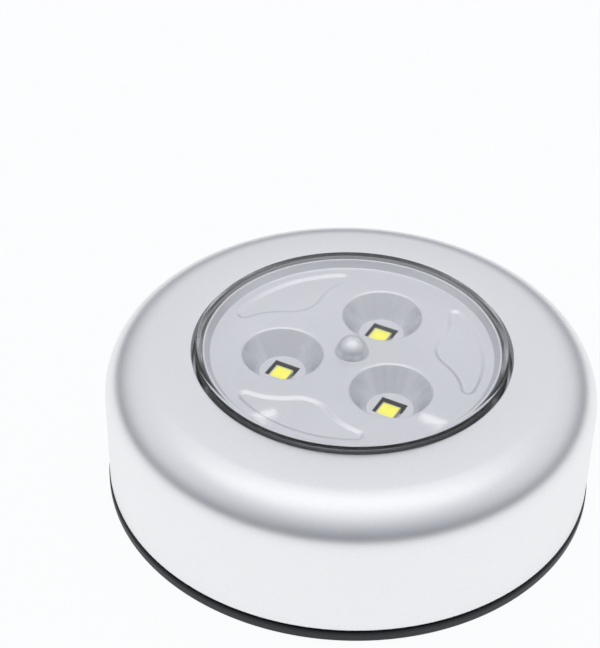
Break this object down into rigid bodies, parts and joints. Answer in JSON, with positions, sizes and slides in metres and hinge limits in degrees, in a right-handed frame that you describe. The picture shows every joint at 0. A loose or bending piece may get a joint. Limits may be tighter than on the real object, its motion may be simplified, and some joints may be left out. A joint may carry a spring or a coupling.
{
  "type": "puck light",
  "caption": "Round stick-on puck light: silver shell, clear press lens over a cupped reflector with bare lamps, dark twist-off base with a foam pad, battery cells inside.",
  "frame": {"origin": "centre of the adhesive pad's lower face, on the surface the light is stuck to or stands on", "axes": "+Z out of the lens, along the twist and press axis; +X along the battery cells, to the right in the picture; +Y away from the camera"},
  "size_m": [0.0684, 0.0684, 0.0244],
  "materials": {
    "silver_shell": "satin metallic silver paint on moulded plastic",
    "base_plastic": "matte near-black moulded plastic",
    "pad_foam": "pale adhesive foam under a paper liner",
    "clear_lens": "clear polished plastic",
    "reflector_silver": "satin silver paint on moulded plastic",
    "board_mask": "dark solder mask over glass fibre",
    "lamp_phosphor": "yellow phosphor in a white package",
    "tray_plastic": "matte dark moulded plastic",
    "cell_wrap": "plain glossy wrapper over a steel can",
    "contact_metal": "bright nickel-plated spring steel",
    "screw_steel": "zinc-plated steel",
    "switch_plastic": "black moulded plastic",
    "plunger_plastic": "white moulded plastic",
    "red_insulation": "red wire insulation",
    "black_insulation": "black wire insulation",
    "chip_ceramic": "glazed chip body with tinned ends"
  },
  "bodies": {
    "base": {"base_plate": "base_plastic", "adhesive_pad": "pad_foam"},
    "body": {"housing": "silver_shell", "battery_tray": "tray_plastic", "cell_1": "cell_wrap", "cell_2": "cell_wrap", "cell_3": "cell_wrap", "contact_positive": "contact_metal", "contact_bridge_right": "contact_metal", "contact_negative": "contact_metal", "contact_bridge_left": "contact_metal", "contact_spring_1": "contact_metal", "contact_spring_2": "contact_metal", "contact_spring_3": "contact_metal", "tray_screw_1": "screw_steel", "tray_screw_2": "screw_steel", "tray_screw_3": "screw_steel", "switch_body": "switch_plastic", "switch_spring": "contact_metal", "switch_pin_1": "contact_metal", "switch_pin_2": "contact_metal", "lead_positive": "red_insulation", "lead_switched": "red_insulation", "lead_negative": "black_insulation"},
    "lens_module": {"lens": "clear_lens", "reflector": "reflector_silver", "led_board": "board_mask", "led_1": "lamp_phosphor", "led_2": "lamp_phosphor", "led_3": "lamp_phosphor", "resistor": "chip_ceramic"},
    "plunger": {"switch_plunger": "plunger_plastic"}
  },
  "joints": [
    {"name": "body_twist", "type": "hinge", "parent": "base", "child": "body", "pos_m": [0, 0, 0], "axis": [0, 0, 1], "range_deg": [0, 20]},
    {"name": "lens_press", "type": "slide", "parent": "body", "child": "lens_module", "axis": [0, 0, -1], "range_m": [0, 0.001], "stiffness_N_per_m": 1500, "springref_m": -0.001, "deforming": ["lead_switched", "lead_negative"]},
    {"name": "plunger_press", "type": "slide", "parent": "body", "child": "plunger", "axis": [0, 0, -1], "range_m": [0, 0.001], "deforming": ["switch_spring"]}
  ],
  "couplings": [
    {"joint": "plunger_press", "follows": "lens_press", "ratio": 1}
  ]
}
